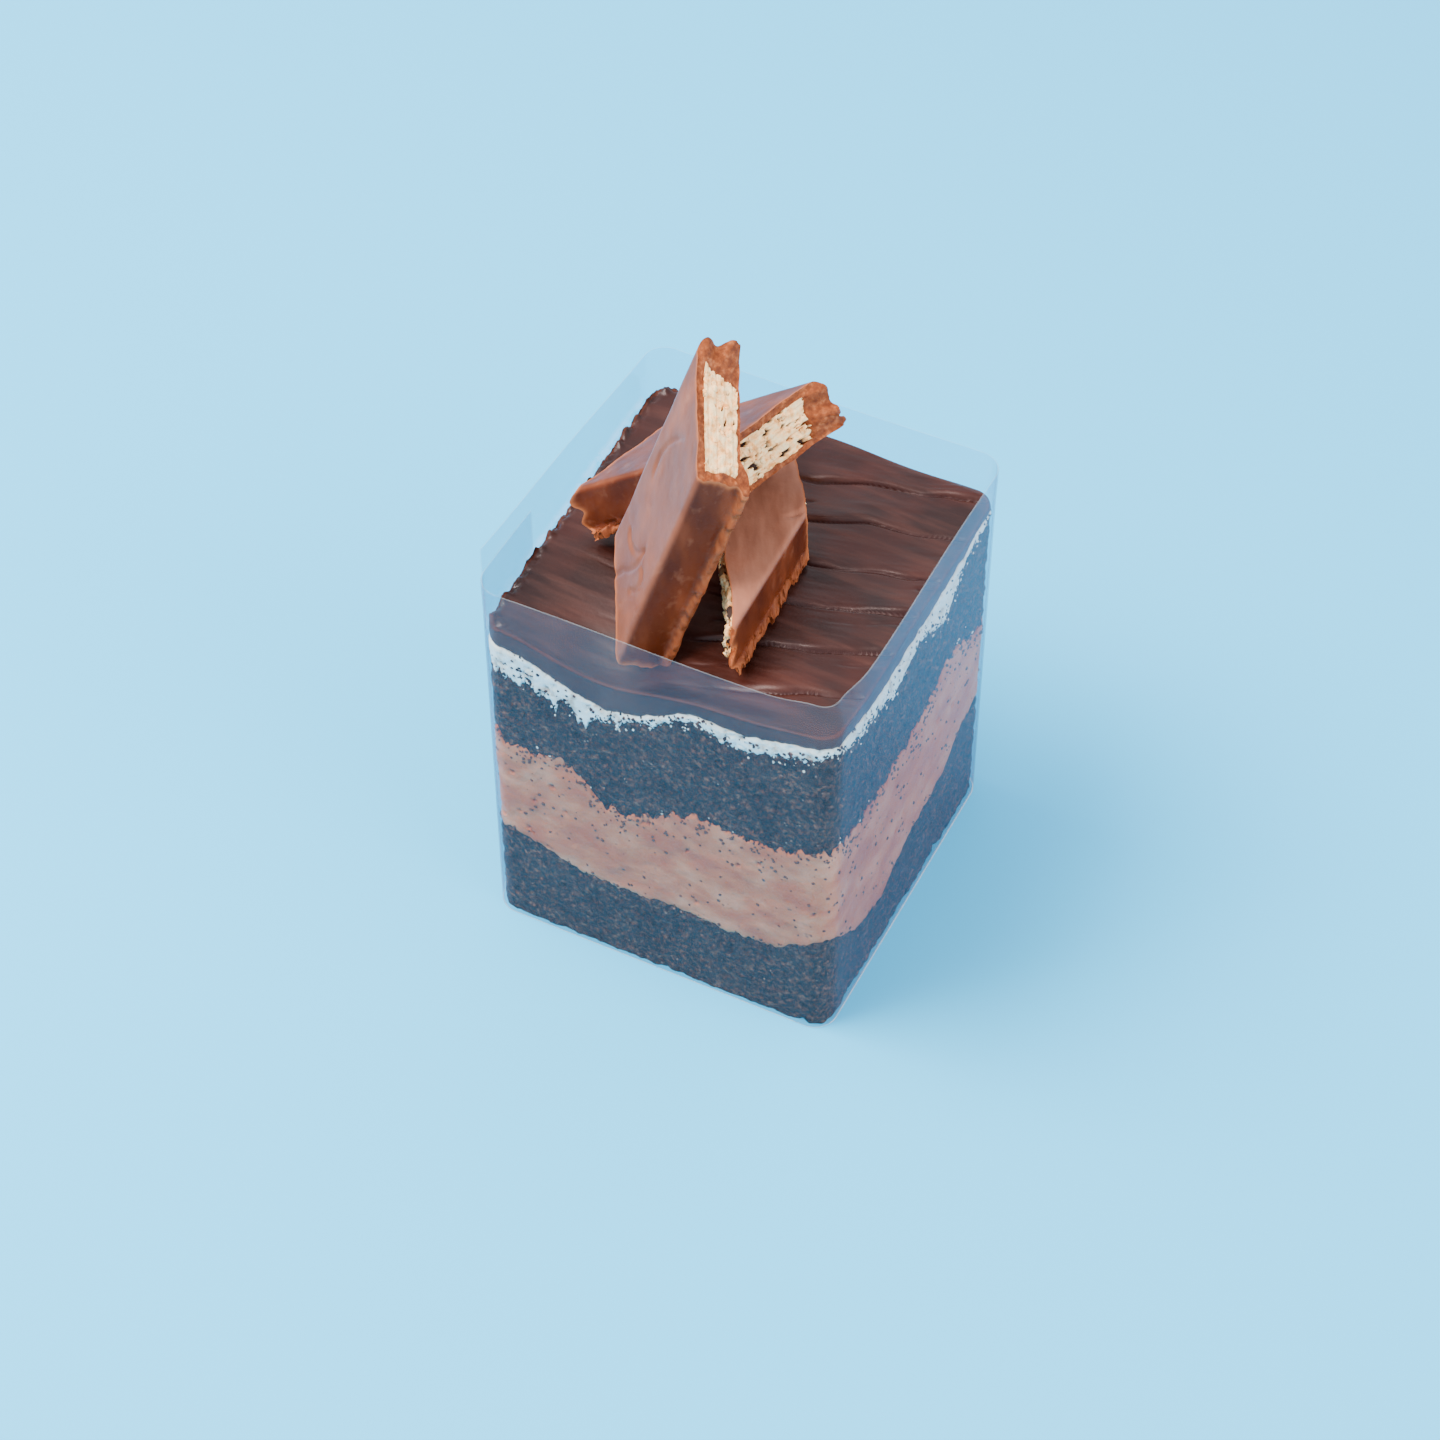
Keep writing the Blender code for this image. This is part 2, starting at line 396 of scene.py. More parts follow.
@dataclass(frozen=True)
class Ganache(Finish):
    """Dark ganache spread with a spatula and set: glossy, with a fatty greyish sheen along the strokes."""

    name: str = "spread dark ganache"
    shine: float = 0.4
    dark: str = "#200B07"
    light: str = "#321109"

    def dress(self, tree: Tree, shader: Node) -> None:
        """Set the shader's values and add its patterns.

        Args:
            tree: The material's tree.
            shader: Its shader.
        """
        streaks = speckle(tree, 2.2, 4, (0.12, 1, 1), (0, 0, 4))
        shade = add(tree, RAMP, {0: speckle(tree, 14.0, 2)}, stops=((0.38, self.dark), (0.62, self.light)))
        # Paler, greyer streaks along the strokes: painted sheen.
        shade = stain(tree, shade, streaks, "#5A3228", (0.45, 0.75), 0.3)
        gloss = add(tree, RAMP, {0: streaks}, stops=((0.35, 0.30), (0.7, 0.48)))
        join(tree, shader, {
            # Dark red where the strokes meet: painted shade in the grooves.
            "Base Color": stain(tree, shade, "hollow", "#290804", (0.1, 0.6)),
            "Roughness": stain(tree, gloss, "hollow", "#C8C8C8"),
            "Normal": uneven(tree, (streaks, 0.05), (speckle(tree, 0.8, 3), 0.03)),
            "IOR": 1.46,
            "Specular IOR Level": self.shine,
            "Specular Tint": "#F6E4EA",
            "Coat Weight": 0.2 * self.shine,
            "Coat Roughness": 0.25,
        })


# The same ganache where it is pressed to the film, with no air between them: matt and a little paler.
PRESSED_GANACHE = Ganache("ganache pressed to the film", 0.06, "#42221D", "#523029")


@dataclass(frozen=True)
class MilkChocolate(Finish):
    """Moulded milk chocolate: satin, with faint mould swirls, slightly paler fat patches and painted sheen on
    tops.
    """

    name: str = "moulded milk chocolate"

    def dress(self, tree: Tree, shader: Node) -> None:
        """Set the shader's values and add its patterns.

        Args:
            tree: The material's tree.
            shader: Its shader.
        """
        swirls = speckle(tree, 5.0, 3, (1, 1, 0.45), (20, 10, 35))
        shade = add(tree, RAMP, {0: swirls}, stops=((0.35, "#451909"), (0.55, "#56240F"), (0.72, "#6E341C")))
        shade = stain(tree, shade, speckle(tree, 2.4, 3), "#A06A52", (0.58, 0.85), 0.3)
        # The bars' top faces are paler: painted sheen, for the sky's reflection.
        shade = stain(tree, shade, "dusty", "#B87C66")
        gloss = add(tree, RAMP, {0: swirls}, stops=((0.3, 0.32), (0.7, 0.44)))
        join(tree, shader, {
            "Base Color": stain(tree, shade, "snapped", "#A05A36"),
            "Roughness": stain(tree, gloss, "snapped", "#D0D0D0"),
            "Normal": uneven(tree, (swirls, 0.12), (speckle(tree, 0.5, 2), 0.02)),
            "IOR": 1.47,
            "Specular Tint": "#FFA88E",
            "Specular IOR Level": 0.42,
            "Coat Weight": 0.02,
            "Coat Roughness": 0.3,
        })


@dataclass(frozen=True)
class BrokenChocolate(Finish):
    """The snapped edge of milk chocolate: matt and paler than the moulded face, with a fine grain."""

    name: str = "snapped milk chocolate"

    def dress(self, tree: Tree, shader: Node) -> None:
        """Set the shader's values and add its patterns.

        Args:
            tree: The material's tree.
            shader: Its shader.
        """
        join(tree, shader, {
            "Base Color": add(tree, RAMP, {0: speckle(tree, 0.9, 4)},
                              stops=((0.35, "#662D11"), (0.55, "#86421E"), (0.72, "#A96038"))),
            "Roughness": 0.6,
            "Normal": uneven(tree, (speckle(tree, 0.5, 3), 0.12)),
            "Specular IOR Level": 0.2,
        })


@dataclass(frozen=True)
class Wafer(Finish):
    """Crisp baked wafer sheets with cocoa cream between them: pale, dry and full of small holes."""

    name: str = "baked wafer sheets"

    def dress(self, tree: Tree, shader: Node) -> None:
        """Set the shader's values and add its patterns.

        Args:
            tree: The material's tree.
            shader: Its shader.
        """
        shade = add(tree, RAMP, {0: speckle(tree, 1.1, 4)},
                    stops=((0.33, "#DE9650"), (0.44, "#FFC07E"), (0.6, "#FFDAA4")))
        shade = stain(tree, shade, "filling", "#BC8355", (0.3, 0.9), 0.4)
        join(tree, shader, {
            # Darker in the holes of the wafers: painted shade.
            "Base Color": stain(tree, shade, "hollow", "#2C130A", (0.1, 0.55)),
            "Roughness": 0.8,
            "Normal": uneven(tree, (speckle(tree, 0.4, 3), 0.15)),
        })


@dataclass(frozen=True)
class ClearFilm(Finish):
    """Acetate film, 0.2 mm, rolled: clear, so it shows mostly what it mirrors, more at a glancing angle."""

    name: str = "clear acetate film"
    head_on: float = 0.04    # share that it mirrors head on
    steepness: float = 5.0   # how late that share rises towards a glancing angle
    contact: float = 0.68    # share of the mirroring that is left where moist cake wets the inner face
    haze: float = 0.014
    tint: str = "#F4FAFC"

    def dress(self, tree: Tree, shader: Node) -> None:
        """Replace the shader by clear film that mirrors the same from inside and outside.

        Args:
            tree: The material's tree.
            shader: The shader that goes.
        """
        tree.nodes.remove(shader)
        facing = add(tree, "ShaderNodeLayerWeight", {"Blend": 0.5}).outputs["Facing"]
        steep = add(tree, MATH, {0: facing, 1: self.steepness}, operation="POWER")
        least = self.contact * self.head_on
        share = add(tree, MATH, {0: steep, 1: self.contact - least, 2: least}, operation="MULTIPLY_ADD")
        mirror = add(tree, "ShaderNodeBsdfGlossy", {"Color": "#FFAFBB", "Roughness": 0.06,
                                                    "Normal": uneven(tree, (speckle(tree, 18.0, 1), 0.15))})
        smudge = add(tree, RAMP, {0: speckle(tree, 6.0, 4)},
                     stops=((0.4, 0.5 * self.haze), (0.75, self.haze)))
        clear = add(tree, "ShaderNodeBsdfTransparent", {"Color": self.tint})
        dust = add(tree, "ShaderNodeBsdfDiffuse", {"Color": "#FFDCD2"})
        hazy = add(tree, "ShaderNodeMixShader", {0: smudge, 1: clear, 2: dust})
        mixed = add(tree, "ShaderNodeMixShader", {0: share, 1: hazy, 2: mirror})
        join(tree, tree.nodes["Material Output"], {"Surface": mixed})


@dataclass(frozen=True)
class FilmEdge(Finish):
    """The cut edge of the film, which gathers light from inside it and so looks milky."""

    name: str = "cut edge of acetate film"

    def dress(self, tree: Tree, shader: Node) -> None:
        """Set the shader's values and add its pattern.

        Args:
            tree: The material's tree.
            shader: Its shader.
        """
        shade = add(tree, RAMP, {0: speckle(tree, 2.0, 2)}, stops=((0.3, "#A9BECB"), (0.7, "#D5E5EE")))
        join(tree, shader, {"Base Color": shade, "Roughness": 0.25, "Alpha": 0.12})


@dataclass(frozen=True)
class Backdrop(Finish):
    """Matt pale paper under the cake."""

    name: str = "pale paper backdrop"
    shade: str = "#3FC4FF"

    def dress(self, tree: Tree, shader: Node) -> None:
        """Set the shader's plain values."""
        join(tree, shader, {"Base Color": self.shade, "Roughness": 0.9, "Specular IOR Level": 0.1})


# Mesh work


@dataclass
class Shape:
    """Points, faces and per-point values of one piece, in millimetres, before it becomes an object."""

    points: list[Vector] = field(default_factory=list)
    faces: list[tuple[int, ...]] = field(default_factory=list)
    slots: list[int] = field(default_factory=list)
    values: dict[str, list[float]] = field(default_factory=dict)

    def ring(self, points: list[Vector], **values: list[float]) -> list[int]:
        """Add a ring of points.

        Args:
            points: The points, in millimetres.
            values: For each kind of value kept on the points, one number a point.

        Returns:
            The points' numbers in the shape.
        """
        start = len(self.points)
        self.points += points
        for name, numbers in values.items():
            self.values.setdefault(name, [0.0] * start).extend(numbers)
        for kept in self.values.values():
            kept.extend([0.0] * (len(self.points) - len(kept)))
        return list(range(start, start + len(points)))

    def band(self, first: list[int], second: list[int], slot: int = 0, closed: bool = True) -> None:
        """Join two rings of the same length with four-sided faces.

        Args:
            first: Point numbers of one ring.
            second: Point numbers of the other.
            slot: Material slot of the faces.
            closed: Whether the last points are joined to the first ones.
        """
        last = len(first) if closed else len(first) - 1
        for i in range(last):
            j = (i + 1) % len(first)
            self.faces.append((first[i], first[j], second[j], second[i]))
            self.slots.append(slot)

    def fan(self, ring: list[int], middle: Vector, slot: int = 0) -> None:
        """Close a ring with triangles to a middle point.

        Args:
            ring: Point numbers of the ring.
            middle: The middle point, in millimetres.
            slot: Material slot of the faces.
        """
        hub = self.ring([middle])[0]
        for i, number in enumerate(ring):
            self.faces.append((number, ring[(i + 1) % len(ring)], hub))
            self.slots.append(slot)

    def build(self, name: str, finishes: list[Finish], slot: str, place: Matrix | None = None,
              replaces: str = "", smooth: float = 60.0) -> bpy.types.Object:
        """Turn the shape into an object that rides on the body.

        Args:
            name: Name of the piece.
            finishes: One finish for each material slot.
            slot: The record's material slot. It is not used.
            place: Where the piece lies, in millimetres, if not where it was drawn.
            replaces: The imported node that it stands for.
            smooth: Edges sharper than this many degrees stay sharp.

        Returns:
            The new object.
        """
        mesh = bpy.data.meshes.new(name)
        mesh.from_pydata([tuple(p) for p in self.points], [], self.faces)
        for key, numbers in self.values.items():
            mesh.attributes.new(key, "FLOAT", "POINT").data.foreach_set("value", numbers)
        mesh.polygons.foreach_set("material_index", self.slots)
        mesh.transform(Matrix.Scale(MM, 4) @ (place or Matrix.Identity(4)))
        tidy = bmesh.new()
        tidy.from_mesh(mesh)
        bmesh.ops.recalc_face_normals(tidy, faces=tidy.faces)
        tidy.to_mesh(mesh)
        tidy.free()
        for finish in finishes:
            mesh.materials.append(finish.material())
        mesh.shade_smooth()
        mesh.set_sharp_from_angle(angle=radians(smooth))
        return place_piece(name, mesh, replaces)


def place_piece(name: str, mesh: bpy.types.Mesh, replaces: str = "") -> bpy.types.Object:
    """Make an object for a finished mesh and let it ride on the body.

    Args:
        name: Name of the piece.
        mesh: Its mesh, in metres.
        replaces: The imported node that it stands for.

    Returns:
        The new object.
    """
    made = bpy.data.objects.new(name, mesh)
    bpy.context.scene.collection.objects.link(made)
    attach(made, BODY)
    if replaces:
        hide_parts(replaces)
    log.info("%s: %d faces", name, len(mesh.polygons))
    return made


# Crumbs, by Geometry Nodes


@dataclass
class CrumbScatter:
    """A Geometry Nodes tree that strews crumbs over a piece where its "crumbs" attribute is above 0."""

    name: str
    finish: Finish
    slot: str
    density: float            # crumbs for each square centimetre
    smallest: float
    largest: float
    flat: float = 0.5         # thickness as a share of the width
    rough: float = 0.35       # how far a crumb's corners stray, as a share of the largest
    sink: float = 0.0         # how far the crumbs are pressed into the surface
    seed: int = 1
    detail: int = 1           # subdivisions of a crumb's ball: 20 faces for 1, 80 for 2
    narrowest: float = 0.55   # the narrowest crumb across, as a share of its width
    corners: float = 0.45     # size of the pattern that moves a crumb's corners

    def tree(self) -> Tree:
        """Build the tree.

        Returns:
            The tree, with a named input for each size, the seed and the material.
        """
        tree = bpy.data.node_groups.new(f"{self.name} scatter", "GeometryNodeTree")
        face = tree.interface
        face.new_socket("Geometry", in_out="INPUT", socket_type="NodeSocketGeometry")
        for label in ("Density", "Smallest", "Largest", "Flat", "Rough", "Sink"):
            face.new_socket(label, in_out="INPUT", socket_type="NodeSocketFloat")
        face.new_socket("Seed", in_out="INPUT", socket_type="NodeSocketInt")
        face.new_socket("Material", in_out="INPUT", socket_type="NodeSocketMaterial")
        face.new_socket("Geometry", in_out="OUTPUT", socket_type="NodeSocketGeometry")
        given = add(tree, "NodeGroupInput").outputs
        where = add(tree, "GeometryNodeInputNamedAttribute", {"Name": "crumbs"}, data_type="FLOAT")
        amount = add(tree, MATH, {0: where, 1: given["Density"]}, operation="MULTIPLY")
        spots = add(tree, "GeometryNodeDistributePointsOnFaces",
                    {"Mesh": given["Geometry"], "Density": amount, "Seed": given["Seed"]}).outputs

        # Each crumb draws its own width and how narrow it is across that.
        width = add(tree, RANDOM, {2: given["Smallest"], 3: given["Largest"], "Seed": given["Seed"]},
                    data_type="FLOAT")
        share = add(tree, RANDOM, {2: self.narrowest, 3: 1.0, "Seed": 11}, data_type="FLOAT")
        narrow = add(tree, MATH, {0: width, 1: share}, operation="MULTIPLY")
        thin = add(tree, MATH, {0: width, 1: given["Flat"]}, operation="MULTIPLY")
        size = add(tree, "ShaderNodeCombineXYZ", {0: width, 1: narrow, 2: thin})

        # Each crumb lies flat on the surface, spun by chance and pressed in.
        spin = add(tree, RANDOM, {2: 0.0, 3: 2 * pi, "Seed": 5}, data_type="FLOAT")
        about = add(tree, "FunctionNodeAxisAngleToRotation", {0: (0, 0, 1), 1: spin})
        turned = add(tree, "FunctionNodeRotateRotation", {0: spots["Rotation"], 1: about},
                     rotation_space="LOCAL")
        down = add(tree, VECTOR, {0: spots["Normal"], "Scale": given["Sink"]}, operation="SCALE")
        sunk = add(tree, MOVE, {"Geometry": spots["Points"], "Offset": down})
        lump = add(tree, "GeometryNodeMeshIcoSphere", {"Radius": 0.5, "Subdivisions": self.detail})
        placed = add(tree, "GeometryNodeInstanceOnPoints",
                     {"Points": sunk, "Instance": lump, "Rotation": turned, "Scale": size})

        # The corners stray, so the balls turn into crumbs.
        real = add(tree, "GeometryNodeRealizeInstances", {0: placed})
        jitter = add(tree, "ShaderNodeTexNoise", {"Scale": per_mm(self.corners), "Detail": 1.0})
        centred = add(tree, VECTOR, {0: jitter.outputs["Color"], 1: (0.5, 0.5, 0.5)}, operation="SUBTRACT")
        stray = add(tree, VECTOR, {0: centred, "Scale": given["Rough"]}, operation="SCALE")
        lumpy = add(tree, MOVE, {"Geometry": real, "Offset": stray})
        dressed = add(tree, "GeometryNodeSetMaterial", {0: lumpy, "Material": given["Material"]})
        add(tree, "NodeGroupOutput", {0: dressed})
        return tree

    def strew(self, base: bpy.types.Object, crumbs: list[float]) -> bpy.types.Object | None:
        """Strew crumbs over a piece.

        Args:
            base: The piece that they lie on.
            crumbs: For each of its points, how many crumbs there are, from 0 to 1.

        Returns:
            The crumbs as one object, or None where there are none.
        """
        host = bpy.data.objects.new("host", base.data.copy())
        bpy.context.scene.collection.objects.link(host)
        host.data.attributes.new("crumbs", "FLOAT", "POINT").data.foreach_set("value", crumbs)
        tree = self.tree()
        scatter = host.modifiers.new("crumbs", "NODES")
        scatter.node_group = tree
        values = {
            "Density": self.density * PER_CM2,
            "Smallest": self.smallest * MM,
            "Largest": self.largest * MM,
            "Flat": self.flat,
            "Rough": self.rough * self.largest * MM,
            "Sink": -self.sink * MM,
            "Seed": self.seed,
            "Material": self.finish.material(),
        }
        for item in tree.interface.items_tree:
            if item.in_out == "INPUT" and item.name in values:
                scatter[item.identifier] = values[item.name]
        mesh = bpy.data.meshes.new_from_object(host.evaluated_get(bpy.context.evaluated_depsgraph_get()))
        bpy.data.objects.remove(host)
        if not mesh.polygons:
            return None
        mesh.name = self.name
        mesh.shade_smooth()
        return place_piece(self.name, mesh)


# The cake's layers


@dataclass(frozen=True)
class Border:
    """The wavy border between two layers: a level, broad lumps and a ragged edge where crumbs meet cream."""

    level: float
    lumps: tuple[Lump, ...]
    ragged: float
    size: float
    seed: float
    left: float = 0.0         # how much more ragged it is towards the left

    def height(self, x: float, y: float) -> float:
        """Height of the border above a spot.

        Args:
            x: The spot's place, in millimetres.
            y: The same, along Y.

        Returns:
            The height in millimetres.
        """
        found = self.level + 0.3 * sin(x / 4.1 + 1.0) * cos(y / 5.3)
        for lump_x, lump_y, rise, reach in self.lumps:
            found += rise * exp(-((x - lump_x) ** 2 + (y - lump_y) ** 2) / reach**2)
        ragged = self.ragged * (1 + self.left * ease((4 - x) / 20))
        return found + ragged * grain(x, y, self.seed, self.size, 5, 0.55)


# A lump is its middle along X and Y, how far it rises and how far it reaches.
BORDERS = (
    Border(16.5, ((-27, -31, 4.5, 9), (31, -31, 5.5, 6), (31, -11, -5, 9), (31, 26, 8, 9), (-31, 8, -3, 12),
                  (-8, 31, 3, 12)),
           ragged=0.7, size=2.6, seed=3.0),
    Border(41.0, ((-31, -31, 2.5, 6), (-16, -31, 3, 4), (-6, -31, -6, 7), (31, -31, 2.5, 6), (31, 15, 5.5, 9),
                  (-31, 10, -4, 10), (6, 31, 3, 12)),
           ragged=1.7, size=1.9, seed=17.0),
    Border(62.0, ((-13, -31, -6, 16), (6.5, -31, 2.5, 5), (31, -31, 3.5, 8), (31, 27, 4.5, 16),
                  (-31, 20, 2, 14), (31, 11, -5, 5), (31, -8, -2.5, 4)),
           ragged=1.25, size=2.1, seed=29.0, left=1.6),
    Border(65.0, ((-8, -31, -5.6, 13), (6.5, -31, 1.5, 5), (31, -31, 2.6, 11), (31, 27, 2.6, 18),
                  (-31, 20, 1.5, 14)),
           ragged=0.35, size=2.4, seed=41.0),
)
TOP_LUMPS = ((-9, -31, -4, 15), (31, -31, 1.2, 9), (0, 31, 0.8, 24))
THINNEST = 0.25      # no layer thins out below this
SIDE_FROM = 29.5     # points further out than this are on a layer's side


@dataclass(frozen=True)
class Plan:
    """The cake seen from above: a rounded square, set in at the left for the lap of the film."""

    right: float = 31.15      # from the middle to the right, the front and the back
    left: float = 30.55
    corner: float = 3.5       # the corners' radius
    pitch: float = 0.33       # how far apart the points are

    def outline(self) -> tuple[list[Vector], list[Vector]]:
        """Walk round the outline, from the front end of the front right corner.

        Returns:
            The points and their outward directions.
        """
        points, outward = [], []
        centres = []
        for sign_x, sign_y in ((1, -1), (1, 1), (-1, 1), (-1, -1)):
            reach = self.right if sign_x > 0 else self.left
            centres.append(Vector((sign_x * (reach - self.corner), sign_y * (self.right - self.corner))))
        steps = round(radians(90) * self.corner / self.pitch)
        for number, centre in enumerate(centres):
            for step in range(steps + 1):
                angle = radians(90) * (number - 1 + step / steps)
                outward.append(Vector((cos(angle), sin(angle))))
                points.append(centre + self.corner * outward[-1])
            run = centres[(number + 1) % 4] - centre
            straight = round(run.length / self.pitch)
            points += [points[-1] + run * (step / straight) for step in range(1, straight)]
            outward += [outward[-1]] * (straight - 1)
        return points, outward


def border_heights(x: float, y: float) -> list[float]:
    """Find the borders above a spot.

    Args:
        x: The spot's place, in millimetres.
        y: The same, along Y.

    Returns:
        Heights of the table and the four inner borders, each above the one before.
    """
    heights = [0.0]
    for border in BORDERS:
        heights.append(max(border.height(x, y), heights[-1] + THINNEST))
    return heights


class Relief(Enum):
    """How a layer's side is textured."""

    CRUMB = "torn sponge"
    WHIPPED = "mousse with air holes"
    SMEARED = "smeared cream"
    SPREAD = "ganache"

    def depth(self, x: float, y: float, z: float) -> tuple[float, float]:
        """Shape the side at a spot.

        Args:
            x: The spot's place, in millimetres.
            y: The same, along Y.
            z: The same, along Z.

        Returns:
            Depth below the pressed face in millimetres, and how hollow the spot is, from 0 to 1.
        """
        if self is Relief.CRUMB:
            near, chance = cell(x, y, z, 2.1)
            pit = ease((chance - 0.45) / 0.2) * ease((0.15 + 0.3 * chance - near) / 0.2)
            lumps = max(0.0, 0.4 + 0.6 * grain(x, y, z + 50, 1.8))
            return 0.8 * pit + 0.6 * lumps, min(1.0, pit + 0.3 * lumps)
        if self is Relief.WHIPPED:
            near, chance = cell(x, y, z, 2.6)
            hole = ease((chance - 0.6) / 0.1) * ease((0.06 + 0.16 * chance - near) / 0.08)
            slack = max(0.0, grain(x, y, z + 90, 8.0, 2))
            return 0.9 * hole + 0.4 * slack + 0.08 * (1 + grain(x, y, z, 1.6)), hole
        if self is Relief.SMEARED:
            lumps = max(0.0, grain(x, y, z + 130, 1.5, 4, 0.6) - 0.1)
            return 0.05 + 0.8 * lumps, min(1.0, 1.1 * lumps)
        return 0.05 + 0.15 * (1 + grain(x, y, z, 3.0)), 0.0


@dataclass
class CakeLayer:
    """One layer between two borders: a textured side on plain, hidden upper and lower faces."""

    node: str
    number: int
    finish: Finish
    slot: str
    relief: Relief
    rows: int
    shoulder: float = 0.25          # how far the edge draws back where it meets a neighbour
    shoulder_reach: float = 0.35    # how far up and down that shows
    inner: tuple[float, ...] = (0.97, 0.85, 0.6, 0.3)    # hidden rings, as shares of the outline

    def build(self, plan: Plan) -> bpy.types.Object:
        """Make the layer and let it stand for its node.

        Args:
            plan: The cake seen from above.

        Returns:
            The layer.
        """
        shape = Shape()
        points, outward = plan.outline()
        heights = [border_heights(p.x, p.y) for p in points]
        rings = []
        for row in range(self.rows + 1):
            share = row / self.rows
            spots, hollow = [], []
            for p, out, levels in zip(points, outward, heights):
                low, high = levels[self.number], levels[self.number + 1]
                z = low + (high - low) * share
                depth, dark = self.relief.depth(p.x, p.y, z)
                rim = min(z - low, high - z) if self.number else high - z    # the foot stays sharp
                depth += self.shoulder * exp(-((rim / self.shoulder_reach) ** 2))
                spots.append(Vector((p.x - out.x * depth, p.y - out.y * depth, z)))
                hollow.append(dark)
            rings.append(shape.ring(spots, hollow=hollow))
        for first, second in zip(rings, rings[1:]):
            shape.band(first, second)
        for edge, level in ((rings[0], self.number), (rings[-1], self.number + 1)):
            before = edge
            for scale in self.inner:
                spots = [(p.x * scale, p.y * scale) for p in points]
                ring = shape.ring([Vector((x, y, border_heights(x, y)[level])) for x, y in spots])
                shape.band(before, ring)
                before = ring
            shape.fan(before, Vector((0, 0, border_heights(0, 0)[level])))
        return shape.build(f"{self.node}_look", [self.finish], self.slot, replaces=self.node, smooth=180)


@dataclass
class GanacheTop:
    """The ganache: overlapping spatula strokes with fine drag lines, a ragged left edge and rounded rim."""

    level: float = 68.95
    pitch: float = 9.7        # how far apart the strokes are
    step: float = 0.6         # how far each one stands above the next
    drag: float = 0.06        # height of the fine drag lines
    groove: float = 0.8       # depth where two strokes meet
    second: float = 0.5       # depth of the line that some strokes have further up
    edge_drop: float = 0.32
    ragged: float = 1.5       # how uneven the left edge is
    pressed: float = 0.8      # how far in from the film the rim is matt
    under: float = 0.9        # the hidden ring below, as a share of the outline
    rings: int = 124
    side_rows: int = 10

    def stroke(self, x: float, y: float) -> tuple[float, float]:
        """Shape the spatula strokes at a spot.

        Args:
            x: The spot's place, in millimetres.
            y: The same, along Y.

        Returns:
            Height of the strokes in millimetres, and how deep in a groove the spot is, from 0 to 1.
        """
        bend = -0.1 * (x + 30) + 0.00425 * (x + 30) ** 2
        wander = 1.5 * grain(x / 6, y / 5, 7.0, 3.0, 3)
        turns = (y - bend - 0.9 + wander) / self.pitch
        phase = turns % 1.0
        # Strokes are strong at the right and fade towards the left and the front, each in its own way.
        own = min(1.2, max(0.2, 0.6 + 0.9 * grain(x / 3, 0.0, floor(turns) * 5.7, 4.0, 2)))
        strong = (0.06 + 0.94 * ease((x + 6) / 14)) * own * (0.1 + 0.9 * ease((y + 27) / 6))
        lift = ease(phase / 0.14) * (1 - phase) ** 1.2
        groove = exp(-((min(phase, 1 - phase) * self.pitch / 0.27) ** 2)) * min(1.0, 1.3 * strong)
        second = exp(-(((phase - 0.42 - 0.012 * x) * self.pitch / 0.3) ** 2)) * strong
        second *= ease(2 * grain(x, 0, floor(turns), 9.0))
        lines = self.drag * (0.3 + strong) * grain(x / 9, y - bend, floor(turns) * 3.1, 1.2, 2)
        depth = self.step * strong * lift - self.groove * groove - self.second * second + lines
        return depth, min(1.0, 1.3 * groove + second)

    def surface(self, x: float, y: float, inward: float) -> tuple[float, float]:
        """Shape the top at a spot.

        Args:
            x: The spot's place, in millimetres.
            y: The same, along Y.
            inward: How far inside the edge the spot lies.

        Returns:
            Height of the top in millimetres, and how hollow the spot is, from 0 to 1.
        """
        height = self.level + 0.3 * sin(x / 4.1 + 1.0) * cos(y / 5.3)
        for lump_x, lump_y, rise, reach in TOP_LUMPS:
            height += rise * exp(-((x - lump_x) ** 2 + (y - lump_y) ** 2) / reach**2)
        lift, groove = self.stroke(x, y)
        calm = ease(inward / 1.5)
        ragged = self.ragged * ease((-x - 20) / 8) * (1 - ease(inward / 2.2))
        height += lift * calm + ragged * grain(x, y, 5.0, 2.3, 4)
        height -= self.edge_drop * (1 - ease(inward / 0.9)) ** 2
        return height, groove * calm

    def build(self, plan: Plan) -> bpy.types.Object:
        """Make the ganache and let it stand for its node.

        Args:
            plan: The cake seen from above.

        Returns:
            The ganache.
        """
        shape = Shape()
        points, outward = plan.outline()
        bottoms = [border_heights(p.x, p.y)[4] for p in points]
        rims = [self.surface(p.x, p.y, 0.0)[0] for p in points]
        before = None
        for row in range(self.side_rows + 1):
            share = row / self.side_rows
            spots = []
            for p, out, low, high in zip(points, outward, bottoms, rims):
                z = low + (max(high, low + 0.8) - low) * share
                depth = Relief.SPREAD.depth(p.x, p.y, z)[0]
                depth += 0.25 * exp(-(((z - low) / 0.35) ** 2)) + 0.15 * share**4
                spots.append(Vector((p.x - out.x * depth, p.y - out.y * depth, z)))
            ring = shape.ring(spots)
            if before:
                shape.band(before, ring, 1)
            else:
                foot = ring
            before = ring
        for number in range(1, self.rings):
            scale = 1 - number / self.rings
            inward = (1 - scale) * plan.right
            spots, hollow = [], []
            for p in points:
                height, dark = self.surface(p.x * scale, p.y * scale, inward)
                spots.append(Vector((p.x * scale, p.y * scale, height)))
                hollow.append(dark)
            ring = shape.ring(spots, hollow=hollow)
            shape.band(before, ring, int(inward < self.pressed))
            before = ring
        shape.fan(before, Vector((0, 0, self.surface(0, 0, plan.right)[0])))
        spots = [(p.x * self.under, p.y * self.under) for p in points]
        under = shape.ring([Vector((x, y, border_heights(x, y)[4])) for x, y in spots])
        shape.band(foot, under)
        shape.fan(under, Vector((0, 0, border_heights(0, 0)[4])))
        return shape.build("ganache_top_look", [Ganache(), PRESSED_GANACHE], "ganache",
                           replaces="ganache_top", smooth=180)


# The film


